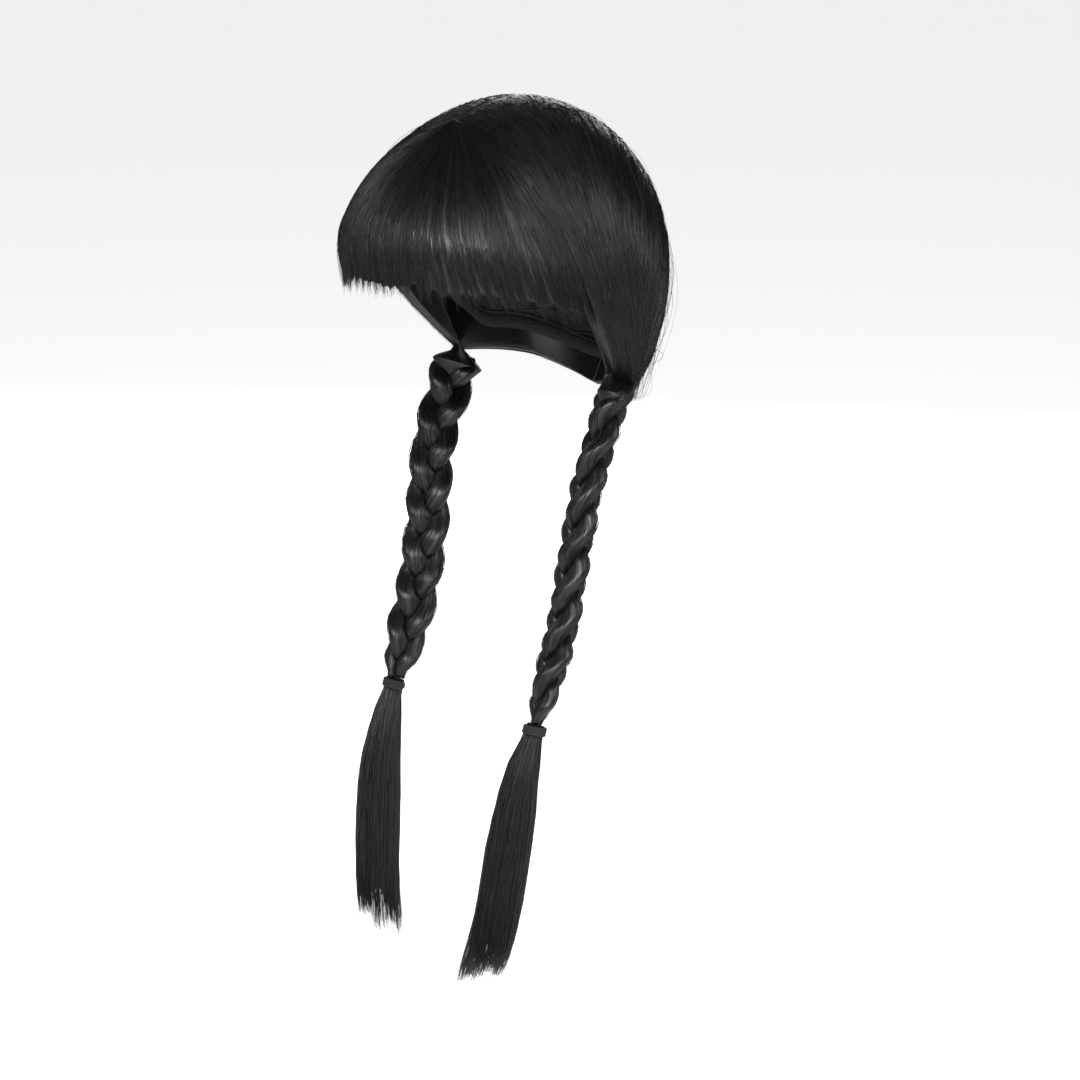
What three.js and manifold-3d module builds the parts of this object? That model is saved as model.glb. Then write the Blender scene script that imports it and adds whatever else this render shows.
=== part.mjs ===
// Pigtail wig: a stretch cap, hair combed from a whorl and a centre parting into two braids, and a blunt fringe.
// Millimetres, +Z up. The face looks along -Y and the wearer's left is +X. The top of the head meets the cap at
// the origin, and the head goes in from below.

import * as THREE from "three";
import { ParametricGeometry } from "three/addons/geometries/ParametricGeometry.js";
import { mergeVertices } from "three/addons/utils/BufferGeometryUtils.js";
import Module from "manifold-3d";

const wasm = await Module();
wasm.setup();

const { clamp, degToRad, lerp, smoothstep } = THREE.MathUtils;

// Head that the wig fits
const headWidth = 150;
const headLength = 192;
const crownHeight = 98; // from the head's widest level up to its top
const napeReach = 116; // how fast the head narrows below its widest level

// Cap and the clearance that the hair keeps over it
const capWall = 1.6;
const hairClearance = 1.5; // about 0.3 mm is left between the flats of the two faceted surfaces

// Hair over the head
const hairHeight = 15; // from the skin to the outside of the hair
const browHeight = 14; // the same over the brow
const backSwell = 5; // how much higher it stands behind the crown, and lower before it
const fringeThickness = 9;
const hemThickness = 3;
const hemHeight = 8; // the fringe curls in to this height over the skin at its hem
const whorlAngle = 21; // how far in front of the crown the hair starts, in degrees
const napeAngle = 126; // where the parting ends at the nape, in degrees behind the crown
const combedGap = 0.02; // share of the parting left free between the fringe and the combed sides
const partingGap = 0.8;
const ridgeHeight = 0.9; // how far a combed lock stands above the furrow beside it
const sideLocks = 9;

// Fringe hem
const hemFrontAngle = 79; // level of the notches over the nose, in degrees from the crown
const hemSeamShare = 0.66; // how far down the seam with the combed side the fringe reaches
const fringeLocks = 18;
const lockPoint = 4.5; // how far a lock's point hangs below the notch beside it, in degrees

// Pigtail root behind the ear
const rootAzimuth = 111;
const rootAngle = 108;
const rootPoint = new THREE.Vector3(67, 26, -158);
const flatTurn = 45; // the braid's flat side looks out and back by this angle

// Braid
const braidWidth = 27;
const braidThickness = 18;
const braidLength = 192; // straight down, from the root to the tie
const braidForward = 61; // how far the braid comes forward over the shoulder
const braidInward = 5;
const plaitLength = 81; // one strand's way from one side to the other and back
const strandWidth = 14;
const strandThickness = 9.6;
const strandLean = 34; // how far a strand turns its flat side as it crosses the middle, in degrees
const strandGap = 2.9; // kept where strands press together, as their flats come nearer between sections

// Tie and tail
const cordDiameter = 2.4;
const tieWraps = 3;
const neckRadius = 4.9;
const tieClearance = 0.3;
const tailLength = 150; // straight down, from the tie to the longest point
const tailForward = 30;
const tailInward = 15;
const tailRadius = 14;
const tailLocks = 8;
const lockRadius = 7;

// Where the cap's rim runs: azimuth from the forehead, and drop below the head's top as a share of crownHeight
const capRim = [
  { azimuth: 0, drop: 0.6 },
  { azimuth: 38, drop: 0.7 },
  { azimuth: 70, drop: 0.92 },
  { azimuth: 93, drop: 1.08 },
  { azimuth: 125, drop: 1.4 },
  { azimuth: 180, drop: 1.56 },
];

// Directions that a combed line passes a third and two thirds of its way from its share of the parting to the root
const combedPass = [
  { share: 0, highAzimuth: 70, highAngle: 62, lowAzimuth: 85, lowAngle: 93 },
  { share: 0.3, highAzimuth: 98, highAngle: 55, lowAzimuth: 98, lowAngle: 88 },
  { share: 0.65, highAzimuth: 148, highAngle: 82, lowAzimuth: 124, lowAngle: 99 },
  { share: 1, highAzimuth: 160, highAngle: 122, lowAzimuth: 137, lowAngle: 116 },
];

// Braid's route as shares of braidLength, braidForward and braidInward
const braidRoute = [
  { down: 0, forward: 0, inward: 0 },
  { down: 0.25, forward: 0.34, inward: 0.05 },
  { down: 0.5, forward: 0.5, inward: 0.7 },
  { down: 0.72, forward: 0.66, inward: 0.85 },
  { down: 1, forward: 1, inward: 1 },
];

// Braid's size along its route, as shares of braidWidth and braidThickness
const braidSwell = [
  { run: 0, size: 1.15 },
  { run: 0.12, size: 1 },
  { run: 0.9, size: 0.95 },
  { run: 1, size: 0.55 },
];

// Tail's route as shares of tailLength, tailForward and tailInward
const tailRoute = [
  { down: 0.2, forward: 0.36, inward: 0.1 },
  { down: 0.42, forward: 0.6, inward: 0.2 },
  { down: 0.8, forward: 0.86, inward: 0.55 },
  { down: 1, forward: 1, inward: 1 },
];

// Lengths of neighbouring locks, as shares of the longest
const lockLengths = [1, 0.93, 0.97, 0.9, 0.99, 0.95, 0.91, 0.98, 0.94];

const materials = {
  net: new THREE.MeshStandardMaterial({ name: "cap_net", color: 0x1a1a1c, roughness: 0.9, metalness: 0 }),
  hair: new THREE.MeshStandardMaterial({ name: "black_hair", color: 0x161616, roughness: 0.38, metalness: 0 }),
  elastic: new THREE.MeshStandardMaterial({ name: "elastic", color: 0x24272a, roughness: 0.8, metalness: 0 }),
};

// Smooth value of one column of a table at a place along its first column.
function tableAt(table, place, key, column) {
  const last = table.length - 1;
  const next = clamp(table.findIndex((row) => row[key] >= place), 1, last);
  const low = table[next - 1];
  const high = table[place >= table[last][key] ? last : next];
  return lerp(low[column], high[column], smoothstep(place, low[key], high[key]));
}

// Unit direction from the head's centre: azimuth from the face towards the wearer's left, angle from the crown.
function heading(azimuth, angle) {
  const turn = degToRad(azimuth);
  const tip = degToRad(angle);
  return new THREE.Vector3(Math.sin(tip) * Math.sin(turn), -Math.sin(tip) * Math.cos(turn), Math.cos(tip));
}

// Point over the head in a direction, lifted along the skin's normal.
function overHead(direction, lift) {
  const axes = new THREE.Vector3(headWidth / 2, headLength / 2, direction.z < 0 ? napeReach : crownHeight);
  const skin = direction.clone().multiply(axes);
  const normal = direction.clone().divide(axes).normalize();
  return skin.addScaledVector(normal, lift).setZ(skin.z - crownHeight);
}

// Pushes a point out until it clears the cap.
function clearOfCap(point) {
  const lift = capWall + hairClearance;
  const height = point.z < -crownHeight ? napeReach : crownHeight;
  const axes = new THREE.Vector3(headWidth / 2, headLength / 2, height).addScalar(lift);
  const scaled = point.clone().setZ(point.z + crownHeight).divide(axes);
  if (scaled.length() > 1) return point;
  const pushed = scaled.normalize().multiply(axes);
  return pushed.setZ(pushed.z - crownHeight);
}

// Azimuth and angle of a direction, in degrees.
function azimuthOf(direction) {
  return THREE.MathUtils.radToDeg(Math.atan2(direction.x, -direction.y));
}

function angleOf(direction) {
  return THREE.MathUtils.radToDeg(Math.acos(clamp(direction.z / direction.length(), -1, 1)));
}

// Height of the hair's outside over the skin.
function fullness(direction) {
  const brow = (1 - smoothstep(Math.abs(azimuthOf(direction)), 35, 95)) * smoothstep(angleOf(direction), 20, 60);
  return lerp(hairHeight, browHeight, brow) + 2 * backSwell * direction.y * direction.z;
}

// Geometry with its doubled vertices merged and its collapsed triangles dropped, so that it closes.
function closed(geometry) {
  geometry.deleteAttribute("normal");
  geometry.deleteAttribute("uv");
  const merged = mergeVertices(geometry, 1e-4);
  const corners = merged.index.array;
  const kept = [];
  for (let i = 0; i < corners.length; i += 3) {
    const [a, b, c] = corners.subarray(i, i + 3);
    if (a !== b && b !== c && c !== a) kept.push(a, b, c);
  }
  merged.setIndex(kept);
  merged.computeVertexNormals();
  return merged;
}

// Closed wall between two sheets. sheet(across, along, side) has side 1 outside, 0 inside and 0.5 in its middle.
function wallBetween(sheet, columns, rows) {
  const slices = 2 * columns + 2;
  const stacks = rows + 2;
  const point = (u, v, target) => {
    const around = (slices - Math.round(u * slices)) % slices;
    const row = Math.round(v * stacks);
    const outside = around <= columns;
    const across = (outside ? around : slices - 1 - around) / columns;
    const end = row === 0 || row === stacks;
    target.copy(sheet(across, clamp((row - 1) / rows, 0, 1), end ? 0.5 : Number(outside)));
  };
  return closed(new ParametricGeometry(point, slices, stacks));
}

// Closed tube. section(turn, along) gives a point of its skin, and middle(along) its centre line.
function tube(section, middle, sides, steps) {
  const stacks = steps + 2;
  const point = (u, v, target) => {
    const row = Math.round(v * stacks);
    const along = clamp((row - 1) / steps, 0, 1);
    const turn = 2 * Math.PI * ((Math.round(u * sides) % sides) / sides);
    target.copy(row === 0 || row === stacks ? middle(along) : section(turn, along));
  };
  return closed(new ParametricGeometry(point, sides, stacks));
}

// Several closed geometries joined into one solid.
function fused(geometries) {
  const solids = geometries.map((geometry) => new wasm.Manifold(new wasm.Mesh({
    numProp: 3,
    vertProperties: geometry.attributes.position.array,
    triVerts: new Uint32Array(geometry.index.array),
  })));
  const mesh = solids.reduce((sum, solid) => sum.add(solid)).getMesh();
  const joined = new THREE.BufferGeometry();
  joined.setAttribute("position", new THREE.BufferAttribute(new Float32Array(mesh.vertProperties), 3));
  joined.setIndex(new THREE.BufferAttribute(new Uint32Array(mesh.triVerts), 1));
  joined.computeVertexNormals();
  return joined;
}

// Cap: a thin shell from the crown to its rim, outside first and then back inside.
function capGeometry() {
  const columns = 34;
  const rows = 7;
  const stacks = 2 * rows + 1;
  const point = (u, v, target) => {
    const row = Math.round(v * stacks);
    const outside = row <= rows;
    const azimuth = 360 * (1 - Math.round(u * columns) / columns);
    const drop = crownHeight * (1 - tableAt(capRim, Math.min(azimuth, 360 - azimuth), "azimuth", "drop"));
    const rimAngle = angleOf(new THREE.Vector3(0, Math.sqrt(1 - (drop / (drop < 0 ? napeReach : crownHeight)) ** 2),
      drop / (drop < 0 ? napeReach : crownHeight)));
    const angle = rimAngle * ((outside ? row : stacks - row) / rows);
    target.copy(overHead(heading(azimuth, angle), outside ? capWall : 0));
  };
  return closed(new ParametricGeometry(point, columns, stacks));
}

// Direction of a combed line that leaves the parting at share and is run along from 0 to 1 at the pigtail's root.
function combedLine(share, run) {
  const pass = (column) => tableAt(combedPass, share, "share", column);
  const line = new THREE.CatmullRomCurve3([
    heading(180, lerp(-whorlAngle, napeAngle, share)),
    heading(pass("highAzimuth"), pass("highAngle")),
    heading(pass("lowAzimuth"), pass("lowAngle")),
    heading(rootAzimuth, rootAngle),
  ]);
  return line.getPoint(run).normalize();
}

// Rounded locks side by side: 1 on a lock's crest, 0 in the furrow beside it.
function crest(across, locks) {
  return Math.abs(Math.sin(Math.PI * locks * across));
}

// Frame of a pigtail's curve where it is run along from 0 to 1: its middle, its width and its flat side's normal.
function frameOn(curve, run) {
  const middle = curve.getPointAt(run);
  const way = curve.getTangentAt(run);
  const out = new THREE.Vector3(Math.cos(degToRad(flatTurn)), Math.sin(degToRad(flatTurn)), 0);
  const wide = new THREE.Vector3().crossVectors(out, way).normalize();
  const flat = new THREE.Vector3().crossVectors(way, wide).normalize();
  return { middle, wide, flat };
}

// Smooth curve through points.
function smoothCurve(points) {
  return new THREE.CatmullRomCurve3(points, false, "centripetal");
}

// Points that follow a route's shares of three lengths from a start.
function routePoints(start, route, down, forward, inward) {
  return route.map((row) => new THREE.Vector3(
    start.x - inward * row.inward, start.y - forward * row.forward, start.z - down * row.down));
}

const braidCurve = smoothCurve(routePoints(rootPoint, braidRoute, braidLength, braidForward, braidInward));

// The tail leaves the tie the way that the braid comes into it.
const tieHeight = cordDiameter * tieWraps;
const tieStart = braidCurve.getPoint(1);
const tieWay = braidCurve.getTangent(1);
const tailCurve = smoothCurve([
  tieStart,
  tieStart.clone().addScaledVector(tieWay, 1.5 * tieHeight),
  ...routePoints(tieStart, tailRoute, tailLength, tailForward, tailInward),
]);

// One combed side: a wall over the cap that narrows and thickens into the root of the braid.
function combedSide(across, along, side) {
  const share = lerp(combedGap, 1, across);
  const direction = combedLine(share, along);
  const furrow = ridgeHeight * (1 - crest(across, sideLocks)) * smoothstep(along, 0.05, 0.3);
  const inner = capWall + hairClearance;
  const shell = overHead(direction, lerp(inner, fullness(direction) - furrow, side));
  shell.x += partingGap / 2;
  const { middle, wide, flat } = frameOn(braidCurve, 0);
  const spread = 2 * across - 1;
  const round = Math.sqrt(1 - 0.9 * spread ** 2);
  const swell = braidSwell[0].size;
  const bundle = middle.addScaledVector(wide, -spread * swell * braidWidth / 2);
  bundle.addScaledVector(flat, (side - 0.5) * swell * braidThickness * round);
  const gathered = shell.lerp(bundle, smoothstep(along, 0.6, 1));
  return clearOfCap(gathered).lerp(gathered, smoothstep(along, 0.85, 1));
}

// Fringe: a wall that falls from the whorl to the hem, with a row of pointed locks along it.
function fringe(across, along, side) {
  const spread = 2 * across - 1;
  const seam = combedLine(0, along * hemSeamShare);
  const lock = Math.min(Math.floor(across * fringeLocks), fringeLocks - 1);
  const tip = crest(across, fringeLocks);
  const front = lerp(whorlAngle, hemFrontAngle, along);
  const longer = lockPoint * lockLengths[lock % lockLengths.length] * tip * smoothstep(along, 0.8, 1);
  const angle = lerp(front, angleOf(seam), spread ** 2) + longer;
  const direction = heading(spread * azimuthOf(seam), angle);
  const curled = lerp(fullness(direction), hemHeight, smoothstep(along, 0.7, 1));
  const outer = curled - ridgeHeight * (1 - tip) * smoothstep(along, 0.15, 0.4);
  const thickness = lerp(fringeThickness, hemThickness, smoothstep(along, 0.82, 1));
  const inner = Math.max(capWall + hairClearance, outer - thickness);
  return overHead(direction, lerp(inner, outer, side));
}

// Place of a strand's centre across the braid's width and through its thickness.
function strandCentre(run, index) {
  const turn = 2 * Math.PI * (run * braidCurve.getLength() / plaitLength + index / 3);
  const size = tableAt(braidSwell, run, "run", "size");
  const swing = (braidWidth - strandWidth) / 2;
  const weave = (braidThickness - strandThickness) / 2;
  return new THREE.Vector2(swing * Math.sin(turn), weave * Math.sin(2 * turn)).multiplyScalar(size);
}

// Distance from a strand's centre to its skin: an oval pressed flat where it meets the other two strands.
function strandReach(run, index, bearing) {
  const turn = 2 * Math.PI * (run * braidCurve.getLength() / plaitLength + index / 3);
  const leaned = bearing - degToRad(strandLean) * Math.cos(turn);
  const size = tableAt(braidSwell, run, "run", "size");
  const oval = size / Math.hypot(2 * Math.cos(leaned) / strandWidth, 2 * Math.sin(leaned) / strandThickness);
  const centre = strandCentre(run, index);
  const limits = [1, 2].map((step) => {
    const apart = strandCentre(run, index + step).sub(centre);
    const towards = apart.x * Math.cos(bearing) + apart.y * Math.sin(bearing);
    const halfWay = (apart.length() - strandGap) / 2 * apart.length();
    return towards > 0 ? halfWay / towards : Infinity;
  });
  return Math.min(oval, ...limits);
}

// One of a braid's three strands, starting a third of a plait after the one before.
function strandGeometry(index) {
  const sides = 9;
  const steps = 36;
  const inset = tieClearance / braidCurve.getLength();
  const place = (run, x, y) => {
    const frame = frameOn(braidCurve, run);
    return frame.middle.addScaledVector(frame.wide, x).addScaledVector(frame.flat, y);
  };
  const middle = (along) => {
    const run = lerp(inset, 1 - inset, along);
    const centre = strandCentre(run, index);
    return place(run, centre.x, centre.y);
  };
  const section = (bearing, along) => {
    const run = lerp(inset, 1 - inset, along);
    const centre = strandCentre(run, index);
    const reach = strandReach(run, index, bearing);
    return place(run, centre.x + reach * Math.cos(bearing), centre.y + reach * Math.sin(bearing));
  };
  return tube(section, middle, sides, steps);
}

// Tie: an elastic cord wound round the neck of the tail, its wraps lying on each other.
function tieGeometry() {
  const inside = neckRadius + tieClearance;
  const profile = [new THREE.Vector2(inside, -tieHeight / 2)];
  for (let wrap = 0; wrap < tieWraps; wrap += 1) {
    for (let step = 0; step <= 3; step += 1) {
      const turn = Math.PI * (step / 3 - 0.5);
      const height = (wrap + 0.5) * cordDiameter - tieHeight / 2;
      profile.push(new THREE.Vector2(inside + cordDiameter * (0.4 + 0.6 * Math.cos(turn)),
        height + 0.47 * cordDiameter * Math.sin(turn)));
    }
  }
  profile.push(new THREE.Vector2(inside, tieHeight / 2), profile[0]);
  return closed(new THREE.LatheGeometry(profile, 14).rotateX(Math.PI / 2));
}

// Tail: locks that leave the neck together, fan out and end in points, fused where they touch.
function tailGeometry() {
  const steps = 8;
  const neckStart = tieClearance / tailCurve.getLength();
  const neckEnd = (tieHeight + 2 * tieClearance) / tailCurve.getLength();
  const goldenTurn = Math.PI * (3 - Math.sqrt(5));
  const locks = Array.from({ length: tailLocks }, (_, index) => {
    const spread = Math.sqrt(index / (tailLocks - 1));
    const bearing = index * goldenTurn;
    const reach = lockLengths[index % lockLengths.length] - 0.1 * Math.max(0, spread * Math.sin(bearing));
    const runOf = (along) => (along === 0 ? neckStart : lerp(neckEnd, reach, (along * steps - 1) / (steps - 1)));
    const fan = (run) => smoothstep(run, neckEnd, 0.55);
    const middle = (along) => {
      const run = runOf(along);
      const apart = lerp(neckRadius * 0.35, tailRadius - lockRadius * 0.75, fan(run)) * spread;
      const frame = frameOn(tailCurve, run);
      return frame.middle.addScaledVector(frame.wide, apart * Math.cos(bearing))
        .addScaledVector(frame.flat, apart * Math.sin(bearing));
    };
    const section = (turn, along) => {
      const run = runOf(along);
      const thick = lerp(neckRadius * 0.65, lockRadius, fan(run)) * (1 - 0.9 * smoothstep(along, 0.84, 1));
      const frame = frameOn(tailCurve, run);
      return middle(along).addScaledVector(frame.wide, thick * Math.cos(turn))
        .addScaledVector(frame.flat, thick * Math.sin(turn));
    };
    return tube(section, middle, 6, steps);
  });
  return fused(locks);
}

const wig = new THREE.Group();

// Adds a named mesh to a group.
function add(group, name, geometry, material) {
  const mesh = new THREE.Mesh(geometry, material);
  mesh.name = name;
  group.add(mesh);
  return mesh;
}

add(wig, "wig_cap", capGeometry(), materials.net);
add(wig, "fringe", wallBetween(fringe, 2 * fringeLocks, 9), materials.hair);

for (const side of [{ name: "left", mirror: 1 }, { name: "right", mirror: -1 }]) {
  const half = new THREE.Group();
  half.scale.x = side.mirror;
  wig.add(half);
  add(half, `combed_side_${side.name}`, wallBetween(combedSide, 2 * sideLocks, 13), materials.hair);
  for (let index = 0; index < 3; index += 1) {
    add(half, `braid_strand_${side.name}_${index + 1}`, strandGeometry(index), materials.hair);
  }
  add(half, `tail_${side.name}`, tailGeometry(), materials.hair);
  const tie = add(half, `hair_tie_${side.name}`, tieGeometry(), materials.elastic);
  tie.position.copy(tieStart).addScaledVector(tieWay, tieHeight / 2 + tieClearance);
  tie.quaternion.setFromUnitVectors(new THREE.Vector3(0, 0, -1), tieWay);
}

export default wig;
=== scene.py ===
"""Pigtail wig in black synthetic hair: a full fringe, combed sides and two braids with loose tails.

Every surface is worked out with numpy in millimetres and goes into its mesh in metres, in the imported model's own
frame: -Y towards the face, +X towards the wearer's left, +Z up, with the top of the head at the origin.
"""

from __future__ import annotations

import logging
import math
from dataclasses import dataclass, field
from enum import Enum
from typing import Any

import bpy
import numpy as np
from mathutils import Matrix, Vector

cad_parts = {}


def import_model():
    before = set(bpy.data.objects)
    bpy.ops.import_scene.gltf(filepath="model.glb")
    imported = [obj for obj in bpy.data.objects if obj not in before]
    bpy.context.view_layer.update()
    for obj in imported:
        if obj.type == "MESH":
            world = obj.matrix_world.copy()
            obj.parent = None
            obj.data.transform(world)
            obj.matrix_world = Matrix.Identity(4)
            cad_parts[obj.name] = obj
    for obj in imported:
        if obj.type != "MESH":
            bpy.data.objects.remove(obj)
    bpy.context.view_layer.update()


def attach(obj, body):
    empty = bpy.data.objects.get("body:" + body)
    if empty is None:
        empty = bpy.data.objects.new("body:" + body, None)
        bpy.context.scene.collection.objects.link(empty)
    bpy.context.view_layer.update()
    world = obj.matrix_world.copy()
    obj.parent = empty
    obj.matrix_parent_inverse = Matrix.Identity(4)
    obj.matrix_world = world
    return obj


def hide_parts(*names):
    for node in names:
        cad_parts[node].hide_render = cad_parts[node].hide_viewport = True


log = logging.getLogger("pigtail_wig")

Array = np.ndarray
Table = dict[str, tuple[float, ...]]

MM = 0.001
UV_UNIT = 100.0  # millimetres of hair that one unit of the flow map covers
SEED = 20

# Directions that a combed line passes, by its share of the parting from the whorl to the nape
COMBED_PASS: Table = {
    "share": (0.0, 0.3, 0.65, 1.0),
    "high_azimuth": (70.0, 98.0, 148.0, 160.0),
    "high_angle": (62.0, 55.0, 82.0, 122.0),
    "low_azimuth": (85.0, 98.0, 124.0, 137.0),
    "low_angle": (93.0, 88.0, 99.0, 116.0),
}

# Cap's rim: azimuth from the forehead, and drop below the head's top as a share of the crown's height
CAP_RIM: Table = {
    "azimuth": (0.0, 38.0, 70.0, 93.0, 125.0, 180.0),
    "drop": (0.6, 0.7, 0.92, 1.08, 1.4, 1.56),
}

# Braid's route and size along it, as shares of its length, forward reach, inward reach and section
BRAID_ROUTE: Table = {
    "down": (0.0, 0.25, 0.5, 0.72, 1.0),
    "forward": (0.0, 0.34, 0.5, 0.66, 1.0),
    "inward": (0.0, 0.05, 0.7, 0.85, 1.0),
}
BRAID_SWELL: Table = {
    "run": (-0.05, 0.03, 0.12, 0.82, 0.93, 1.0),
    "size": (0.7, 1.08, 1.0, 0.97, 0.8, 0.42),
}

# Tail's route and size along it
TAIL_ROUTE: Table = {
    "down": (0.2, 0.42, 0.8, 1.0),
    "forward": (0.36, 0.6, 0.86, 1.0),
    "inward": (0.1, 0.2, 0.55, 1.0),
}
TAIL_SWELL: Table = {
    "run": (0.0, 0.05, 0.1, 0.2, 0.34, 0.5, 1.0),
    "size": (0.36, 0.4, 0.54, 0.74, 0.9, 1.0, 1.0),
}


class Side(Enum):
    """Side of the wearer."""

    LEFT = 1
    RIGHT = -1

    @property
    def label(self) -> str:
        """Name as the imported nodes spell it."""
        return self.name.lower()


class Coat(Enum):
    """How the hair finish is laid on a piece."""

    MASS = "combed mass"
    FIBRE = "single fibres"


def smoothstep(value: Array | float, low: Array | float, high: Array | float) -> Array:
    """Smooth rise from 0 at low to 1 at high: 3t^2 - 2t^3.

    Args:
        value: Places to rate.
        low: Where the rise starts.
        high: Where it ends.

    Returns:
        Shares between 0 and 1.
    """
    part = np.clip((np.asarray(value) - low) / (np.asarray(high) - low), 0.0, 1.0)
    return part * part * (3.0 - 2.0 * part)


def mix(low: Array | float, high: Array | float, share: Array | float) -> Array | float:
    """Straight mix of two values: low + (high - low) * share."""
    return low + (high - low) * share


def table_at(table: Table, key: str, place: Array | float, column: str) -> Array:
    """Smooth value of one column of a table.

    Args:
        table: Named columns of equal length.
        key: Column that the places are measured along.
        place: Places to read the table at.
        column: Column that is read.

    Returns:
        The column's value at each place, eased between the rows.
    """
    knots, values = np.array(table[key]), np.array(table[column])
    cell = np.clip(np.searchsorted(knots, place, side="right") - 1, 0, len(knots) - 2)
    return mix(values[cell], values[cell + 1], smoothstep(place, knots[cell], knots[cell + 1]))


def unit(vectors: Array) -> Array:
    """Vectors along the last axis, divided by their lengths."""
    return vectors / np.maximum(np.linalg.norm(vectors, axis=-1, keepdims=True), 1e-9)


def waves(rng: np.random.Generator, place: Array, knots: int) -> Array:
    """Smooth random curve between -1 and 1: random values at evenly spaced knots, eased between them.

    Args:
        rng: Source of the values.
        place: Places from 0 to 1, wrapped outside.
        knots: How many values the span holds.

    Returns:
        The curve at each place.
    """
    values = rng.uniform(-1.0, 1.0, knots)
    cell = np.asarray(place) * knots
    low = np.floor(cell).astype(int)
    part = cell - low
    return mix(values[low % knots], values[(low + 1) % knots], part * part * (3.0 - 2.0 * part))


def through(points: Array, place: Array) -> Array:
    """Catmull-Rom curve through points, its ends led by mirrored neighbours.

    Args:
        points: Control points, first axis along the curve.
        place: Places from 0 to 1, broadcast against the points' other axes but the last.

    Returns:
        Points of the curve.
    """
    led = np.concatenate([2 * points[:1] - points[1:2], points, 2 * points[-1:] - points[-2:-1]])
    count = len(points) - 1
    cell = np.clip(np.floor(place * count).astype(int), 0, count - 1)
    t = (place * count - cell)[..., None]
    if points.ndim > 2:
        grid = np.indices(cell.shape)
        a, b, c, d = (led[(cell + k, *grid)] for k in range(4))
    else:
        a, b, c, d = (led[cell + k] for k in range(4))
    return 0.5 * (2 * b + (c - a) * t + (2 * a - 5 * b + 4 * c - d) * t**2 + (3 * b - a - 3 * c + d) * t**3)


def heading(azimuth: Array | float, angle: Array | float) -> Array:
    """Unit directions from the head's centre.

    Args:
        azimuth: Degrees from the face towards the wearer's left.
        angle: Degrees from the crown.

    Returns:
        (sin angle * sin azimuth, -sin angle * cos azimuth, cos angle) for each pair.
    """
    turn, tip = np.broadcast_arrays(np.radians(azimuth), np.radians(angle))
    return np.stack([np.sin(tip) * np.sin(turn), -np.sin(tip) * np.cos(turn), np.cos(tip)], -1)


def azimuth_of(direction: Array) -> Array:
    """Azimuth of directions, in degrees from the face towards the wearer's left."""
    return np.degrees(np.arctan2(direction[..., 0], -direction[..., 1]))


def angle_of(direction: Array) -> Array:
    """Angle of directions from the crown, in degrees."""
    return np.degrees(np.arccos(np.clip(unit(direction)[..., 2], -1.0, 1.0)))


def srgb(code: str) -> tuple[float, float, float, float]:
    """Linear colour of an sRGB hex code.

    Args:
        code: Six hex digits.

    Returns:
        Red, green, blue and alpha.
    """
    parts = [int(code[i : i + 2], 16) / 255 for i in (0, 2, 4)]
    linear = [p / 12.92 if p <= 0.04045 else ((p + 0.055) / 1.055) ** 2.4 for p in parts]
    return (linear[0], linear[1], linear[2], 1.0)


def new_piece(name: str, points: Array, faces: list[Array], uvs: Array) -> bpy.types.Object:
    """Mesh object with a flow map, at the origin.

    Args:
        name: Name of the piece.
        points: Corner points in millimetres.
        faces: Arrays of point numbers, one array for each number of corners.
        uvs: Flow map's place of each point.

    Returns:
        The object, linked to the scene.
    """
    mesh = bpy.data.meshes.new(name)
    corners = np.concatenate([part.ravel() for part in faces]).astype(np.int32)
    counts = np.concatenate([np.full(len(part), part.shape[1]) for part in faces])
    mesh.vertices.add(len(points))
    mesh.vertices.foreach_set("co", (points * MM).astype(np.float32).ravel())
    mesh.loops.add(len(corners))
    mesh.loops.foreach_set("vertex_index", corners)
    mesh.polygons.add(len(counts))
    mesh.polygons.foreach_set("loop_start", np.r_[0, np.cumsum(counts)[:-1]].astype(np.int32))
    mesh.update(calc_edges=True)
    mesh.shade_smooth()
    flow = mesh.uv_layers.new(name="flow")
    flow.data.foreach_set("uv", uvs[corners].astype(np.float32).ravel())
    mesh.validate()
    piece = bpy.data.objects.new(name, mesh)
    bpy.context.scene.collection.objects.link(piece)
    return piece


def ring_piece(name: str, rings: Array, uvs: Array, ends: Array) -> bpy.types.Object:
    """Closed tube of rings, with a fan on each end.

    Args:
        name: Name of the piece.
        rings: Points by row and by place round the ring, turning right-handed along the rows.
        uvs: Flow map's places, shaped as the rings.
        ends: Points in the middle of the first and the last ring.

    Returns:
        The object.
    """
    rows, around = rings.shape[:2]
    row, column = np.mgrid[: rows - 1, :around]
    after = (column + 1) % around
    quads = np.stack([row * around + column, row * around + after, (row + 1) * around + after,
                      (row + 1) * around + column], -1).reshape(-1, 4)
    first, last = rows * around, rows * around + 1
    ring = np.arange(around)
    top = np.stack([np.full(around, first), (ring + 1) % around, ring], -1)
    bottom = np.stack([np.full(around, last), ring, (ring + 1) % around], -1)
    bottom[:, 1:] += (rows - 1) * around
    points = np.concatenate([rings.reshape(-1, 3), ends])
    places = np.concatenate([uvs.reshape(-1, 2), uvs[0].mean(0)[None], uvs[-1].mean(0)[None]])
    return new_piece(name, points, [quads, top, bottom], places)


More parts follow.
